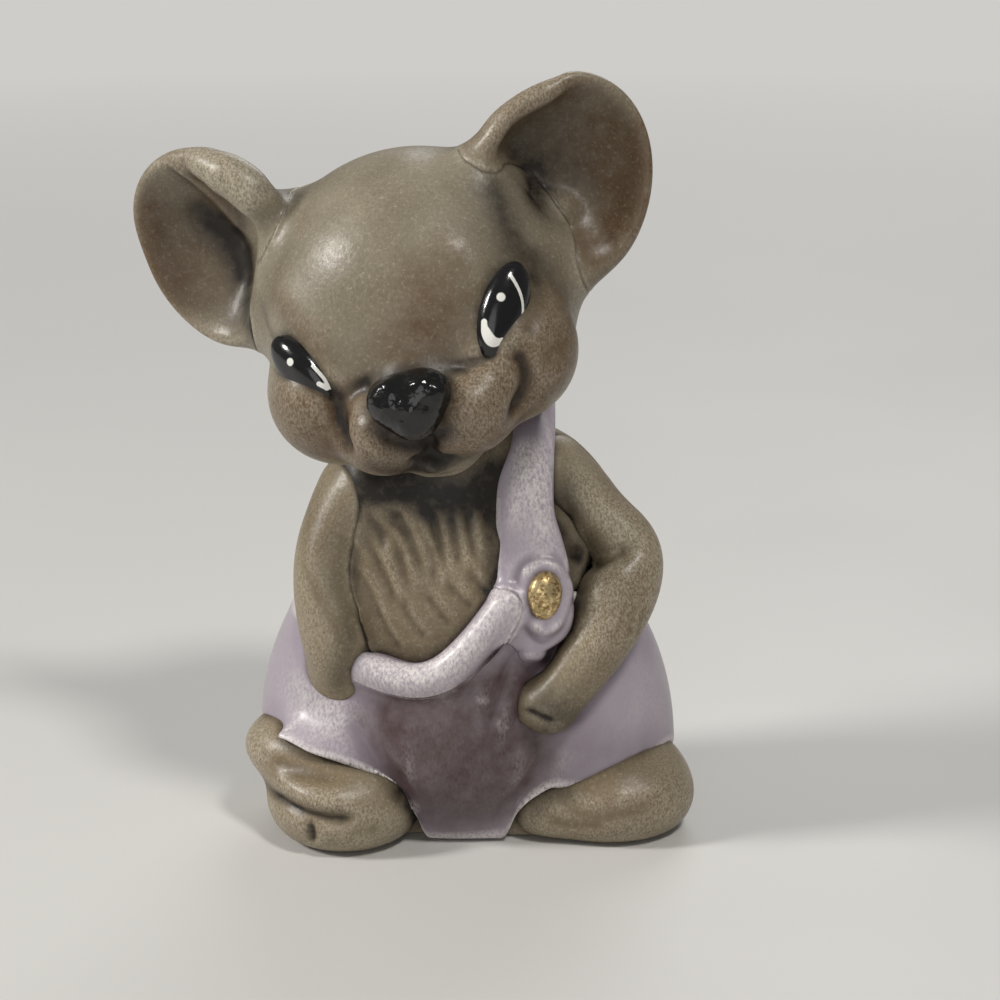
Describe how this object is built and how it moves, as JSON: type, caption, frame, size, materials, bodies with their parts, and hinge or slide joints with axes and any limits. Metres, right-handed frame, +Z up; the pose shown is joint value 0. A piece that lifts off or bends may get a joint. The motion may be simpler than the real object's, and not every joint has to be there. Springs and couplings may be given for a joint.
{
  "type": "mouse figurine",
  "caption": "Small bisque mouse figurine that stands in one-strap overalls with its head tilted, one hand in a pocket and one paw on its hip.",
  "frame": {"origin": "on the table under the middle of the body, at the middle of the flat base", "axes": "the mouse faces -Y, +X is the mouse's own left, +Z is up"},
  "size_m": [0.0415, 0.0269, 0.0571],
  "materials": {
    "bisque_grey": "satin, hand painted grey-brown with a dark wash",
    "romper_lavender": "pearl, hand painted lavender",
    "nose_black": "gloss black",
    "eye_black": "gloss black with painted white glints",
    "button_gold": "metallic gold paint with glitter"
  },
  "bodies": {
    "root": {"head": "bisque_grey", "trunk": "bisque_grey", "romper": "romper_lavender", "strap": "romper_lavender", "button": "button_gold", "bib_hem": "romper_lavender", "nose": "nose_black", "arm_left": "bisque_grey", "arm_right": "bisque_grey", "tail": "bisque_grey", "eye_left": "eye_black", "eye_right": "eye_black", "ear_left": "bisque_grey", "ear_right": "bisque_grey", "foot_left": "bisque_grey", "foot_right": "bisque_grey"}
  },
  "joints": []
}
